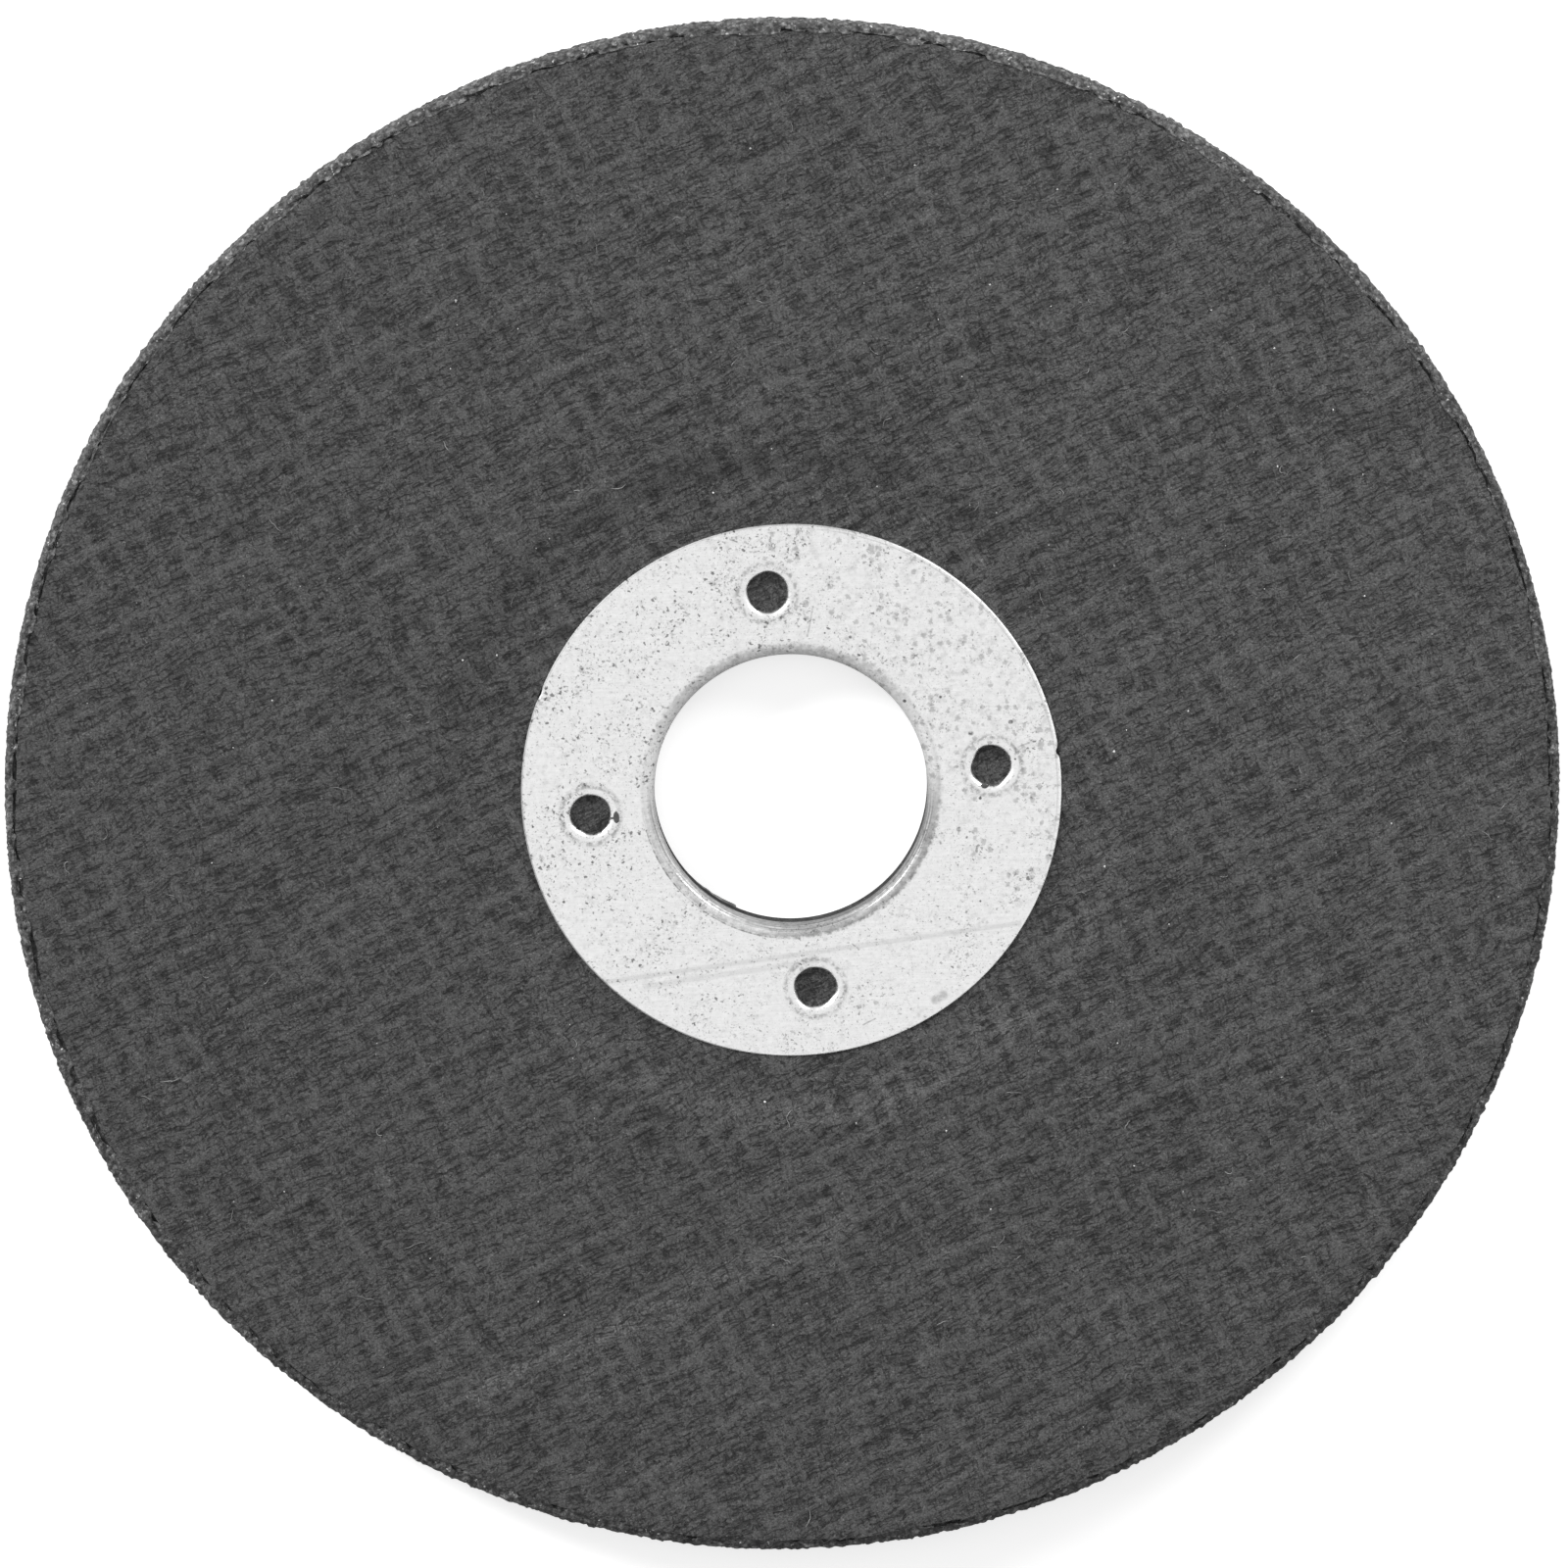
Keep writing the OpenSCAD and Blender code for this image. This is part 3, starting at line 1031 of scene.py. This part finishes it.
def build_lint():
    """Fibres all over the facing. The first is the long hair at the bottom of the wheel."""
    random = np.random.default_rng(7)
    sheet = Sheet()
    starts = np.vstack([hair, seen_lint, scatter(random, 120)])
    for number, start in enumerate(starts):
        steps = random.integers(5, 11)
        heading = random.random() * math.tau
        curl = random.normal(0, 0.35)
        if number == 0:
            steps, heading, curl = 11, math.radians(-72), -0.04
        place = np.array(start, float)
        path = []
        wander = 0.12 if number == 0 else 0.3
        for _ in range(steps):
            path.append(place.copy())
            heading += curl + random.normal(0, wander)
            place += random.uniform(0.12, 0.26) * np.array([math.cos(heading), math.sin(heading)])
        path = np.array(path)
        height = lay_on_face(path[:, 0], path[:, 1], 0.02)
        add_fibre(sheet, np.c_[path, height], random.uniform(0.015, 0.03))
    return sheet.to_object("lint")


lint = build_lint()
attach(lint, "root")

# %% [markdown]
# ## White flecks
# Chips of pale grain stick to the paper. Each is a tiny lump with eight uneven faces, so that it
# catches the light like a crystal. Four larger ones lie where the photograph has them, and the rest
# are scattered.

# %% Flecks of grain on the facing
large_flecks = [(-26.9, 40.8), (-52.0, -19.3), (20.9, 47.3), (-12.4, 5.2)]
fleck_sink = 0.02
fleck_thick = 0.05


def add_lump(sheet, centre, size, random):
    """A small uneven lump with eight faces."""
    axes = np.vstack([np.eye(3), -np.eye(3)]) * size
    axes *= random.uniform(0.7, 1.3, (6, 1))
    i = sheet.add_points(np.asarray(centre) + axes)
    sheet.faces += [(i[a], i[b], i[c]) for a in (0, 3) for b in (1, 4) for c in (2, 5)]


def build_flecks():
    random = np.random.default_rng(8)
    sheet = Sheet()
    for number, place in enumerate(np.vstack([large_flecks, scatter(random, 320)])):
        size = random.uniform(0.04, 0.12 + 0.03 * rise(place[0], -30, 50))
        if number < len(large_flecks):
            size = random.uniform(0.16, 0.26)
        height = lay_on_face(place[:1], place[1:], 0.01)[0] - fleck_sink
        half = np.array([size, size, min(0.4 * size, fleck_thick)])
        add_lump(sheet, (*place, height), half, random)
    return sheet.to_object("grain_flecks", sharp_deg=20)


flecks = build_flecks()
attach(flecks, "root")


def pale_finish(name, dark, light, roughness):
    """A dusty pale finish whose grey wanders between two levels."""
    f = Finish(name)
    tone = f.grain(1.1)
    f.set(Base_Color=f.step(tone, 0.3, 0.7, grey(dark), grey(light)), Roughness=roughness)
    return f.material


lint.data.materials.append(pale_finish("lint_fibre", 105, 165, 0.85))
flecks.data.materials.append(pale_finish("white_grain", 150, 245, 0.5))

# %% [markdown]
# ## Resin and flash
# Resin creeps out of two of the ring's holes and sets as flat drops, and a sliver of flash hangs at
# the back edge of the bore, where the mould closed on the paper. Both are built as stacks of rows.

# %% Resin drops on the ring and flash in the bore
drop_steps = 36
flash_steps = 40
flash_from = 221
flash_to = 246


def add_drop(sheet, centre, half, height, seed):
    """A flat uneven drop lying on the ring, as rows from its foot to its top."""
    angle = steps_round(drop_steps)
    uneven = 0.75 + 0.5 * noise_round(angle, 7, seed)
    rows = []
    for level in np.linspace(0, 1, 6):
        reach = uneven * math.sqrt(1 - 0.97 * level ** 2)
        x = centre[0] + half[0] * reach * np.cos(angle)
        y = centre[1] + half[1] * reach * np.sin(angle)
        rows.append(sheet.add_points(np.c_[x, y, np.full(drop_steps, ring_top - 0.01 + height * level)]))
    sheet.sew_rows(rows)
    sheet.faces += [tuple(rows[0]), tuple(rows[-1])]


def build_resin():
    sheet = Sheet()
    add_drop(sheet, (-14.25, -2.0), (0.24, 0.45), 0.1, 90)
    add_drop(sheet, (-14.6, -2.1), (0.25, 0.09), 0.05, 91)
    add_drop(sheet, (15.75, 0.25), (0.32, 0.2), 0.08, 92)
    return sheet.to_object("resin_drops")


def build_flash():
    sheet = Sheet()
    angle = np.radians(np.linspace(flash_from, flash_to, flash_steps))
    swell = rise(np.degrees(angle), flash_from, flash_to - 2)
    ragged = 0.6 + 0.6 * smooth_noise(np.arange(flash_steps) / 4, 0 * angle, 95)
    reach = 0.03 + 0.2 * swell * ragged
    reach[0] = reach[-1] = 0.02
    rows = []
    for depth, z in ((0.0, 0.03), (0.5, 0.03), (1.0, 0.05), (1.0, 0.1), (0.5, 0.14), (0.0, 0.16)):
        radius = bore_r + 0.01 - reach * depth
        rows.append(sheet.add_ring(radius, angle, z))
    for row, next_row in zip(rows, rows[1:] + rows[:1]):
        for k in range(flash_steps - 1):
            sheet.faces.append((row[k], row[k + 1], next_row[k + 1], next_row[k]))
    sheet.faces += [tuple(row[0] for row in rows), tuple(row[-1] for row in rows)]
    return sheet.to_object("bore_flash")


resin = build_resin()
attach(resin, "root")
resin.data.materials.append(pale_finish("dark_resin", 55, 85, 0.35))
flash = build_flash()
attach(flash, "root")
flash.data.materials.append(pale_finish("paper_flash", 90, 175, 0.7))

# %% [markdown]
# ## The studio
# The wheel lies on a white floor between two soft lamps: a broad one far off to the upper left, and
# a small one near by to the upper right. Both stand low, so that they rake over the creases. A
# white surround fills the shadows. It shows white to the camera and in the steel, but gives less
# than half its strength as light. The floor glows a little for the camera, and still keeps the
# wheel's soft shadow.

# %% Floor, light and surround
floor_size = 6.0
floor_grey = 0.8
floor_glow = 0.62
bpy.ops.mesh.primitive_plane_add(size=floor_size, location=(0, 0, 0))
floor = bpy.context.object
floor.name = "studio_floor"


def floor_finish():
    f = Finish("white_floor")
    f.set(Base_Color=(floor_grey, floor_grey, floor_grey, 1), Roughness=0.9, Specular_IOR_Level=0.0)
    seen = f.add("ShaderNodeLightPath").outputs["Is Camera Ray"]
    f.set(Emission_Color=(1, 1, 1, 1), Emission_Strength=f.times(seen, floor_glow))
    return f.material


floor.data.materials.append(floor_finish())

fill_level = 0.4
surround = bpy.data.worlds.new("white_surround")
bpy.context.scene.world = surround
surround.use_nodes = True
sky = surround.node_tree
path = sky.nodes.new("ShaderNodeLightPath")
seen = path.outputs["Is Camera Ray"]
for ray in ("Is Glossy Ray", "Is Transmission Ray"):
    either = sky.nodes.new("ShaderNodeMath")
    either.operation = "MAXIMUM"
    sky.links.new(seen, either.inputs[0])
    sky.links.new(path.outputs[ray], either.inputs[1])
    seen = either.outputs[0]
level = sky.nodes.new("ShaderNodeMapRange")
level.inputs["To Min"].default_value = fill_level
sky.links.new(seen, level.inputs["Value"])
background = sky.nodes["Background"]
background.inputs["Color"].default_value = (1, 1, 1, 1)
sky.links.new(level.outputs[0], background.inputs["Strength"])


def add_lamp(name, azimuth, height, reach, size, energy):
    """A square soft lamp that looks at the wheel from an azimuth and a height, both in degrees."""
    data = bpy.data.lights.new(name, "AREA")
    data.size = size
    data.energy = energy
    lamp = bpy.data.objects.new(name, data)
    bpy.context.scene.collection.objects.link(lamp)
    turn, rise_up = math.radians(azimuth), math.radians(height)
    across = math.cos(rise_up)
    lamp.location = reach * Vector((across * math.cos(turn), across * math.sin(turn), math.sin(rise_up)))
    lamp.rotation_euler = (-lamp.location).to_track_quat("-Z", "Y").to_euler()
    print(name, "at", [round(c, 3) for c in lamp.location])


add_lamp("left_lamp", azimuth=142, height=16, reach=4.0, size=1.0, energy=220.0)
add_lamp("right_lamp", azimuth=45, height=16, reach=0.4, size=0.1, energy=1.23)

# %% [markdown]
# ## The camera
# The photograph looks almost straight down, leaning about ten degrees towards the top of the
# picture. A long lens a good way off gives the same nearly parallel view.

# %% Camera
lean = math.radians(10.557)
lean_azimuth = math.radians(95.975)
camera_reach = 1.7
aim = Vector((-0.538, 0.031, 0)) * MM
picture_roll = math.radians(-0.452)
picture_px = 1600
px_per_mm = 12.5131
picture_width_mm = picture_px / px_per_mm

camera_data = bpy.data.cameras.new("camera")
camera_data.angle = 2 * math.atan(picture_width_mm * MM / 2 / camera_reach)
camera = bpy.data.objects.new("camera", camera_data)
bpy.context.scene.collection.objects.link(camera)
back = Vector((
    math.sin(lean) * math.cos(lean_azimuth), math.sin(lean) * math.sin(lean_azimuth), math.cos(lean)))
up = Vector((-math.sin(picture_roll), math.cos(picture_roll), 0))
up = (up - up.dot(back) * back).normalized()
right = up.cross(back)
rows = [(right[k], up[k], back[k], aim[k] + back[k] * camera_reach) for k in range(3)]
camera.matrix_world = Matrix([*rows, (0, 0, 0, 1)])
bpy.context.scene.camera = camera
bpy.context.scene.view_settings.view_transform = "Standard"
print("camera at", [round(c, 3) for c in camera.location])
